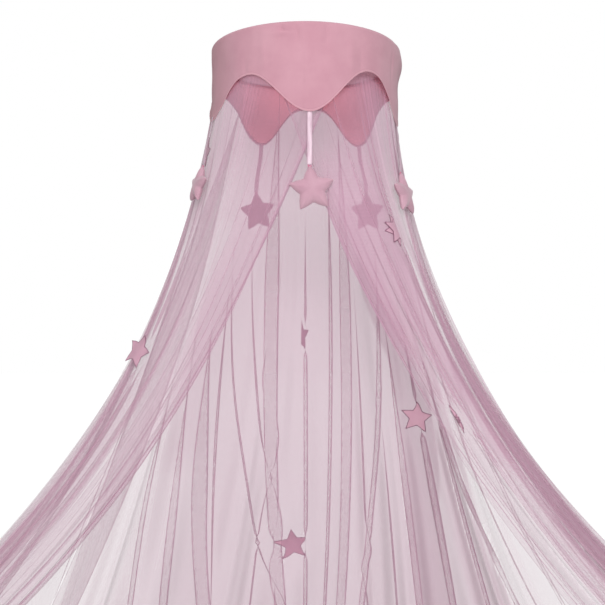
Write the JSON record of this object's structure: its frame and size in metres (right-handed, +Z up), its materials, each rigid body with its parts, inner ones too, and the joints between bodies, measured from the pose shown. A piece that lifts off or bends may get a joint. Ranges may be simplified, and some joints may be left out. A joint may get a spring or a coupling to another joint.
{
  "type": "hoop and draped net of a hanging mosquito net canopy",
  "caption": "Hanging bed canopy: cloth band with rounded points over a thin hoop, fine gathered net open at the front, padded stars on ribbons and flat stars on the net.",
  "frame": {"origin": "centre of the hoop, at the level of the band's top edge", "axes": "+Z up, towards what holds the hoop; -Y towards the front opening; +X along the spread of the net"},
  "size_m": [3.1127, 0.8944, 2.101],
  "materials": {
    "painted_tube": "painted white, satin",
    "pink_cotton": "matte woven cloth",
    "mauve_net": "fine see-through net",
    "pink_satin": "glossy satin ribbon",
    "star_velour": "soft matte cloth",
    "star_cloth": "matte cloth with a stitched edge"
  },
  "bodies": {
    "root": {"hoop": "painted_tube", "crown_band": "pink_cotton", "net_flap_left": "mauve_net", "net_side_left": "mauve_net", "net_back": "mauve_net", "net_side_right": "mauve_net", "net_flap_right": "mauve_net", "ribbon_front": "pink_satin", "ribbon_left": "pink_satin", "ribbon_right": "pink_satin", "ribbon_back_left": "pink_satin", "ribbon_back_right": "pink_satin", "star_front": "star_velour", "star_left": "star_velour", "star_right": "star_velour", "star_back_left": "star_velour", "star_back_right": "star_velour", "patch_left_wing": "star_cloth", "patch_back_right": "star_cloth", "patch_back_low": "star_cloth", "patch_back_middle": "star_cloth", "patch_right_high": "star_cloth", "patch_right_wing": "star_cloth", "patch_left_high": "star_cloth"}
  },
  "joints": []
}
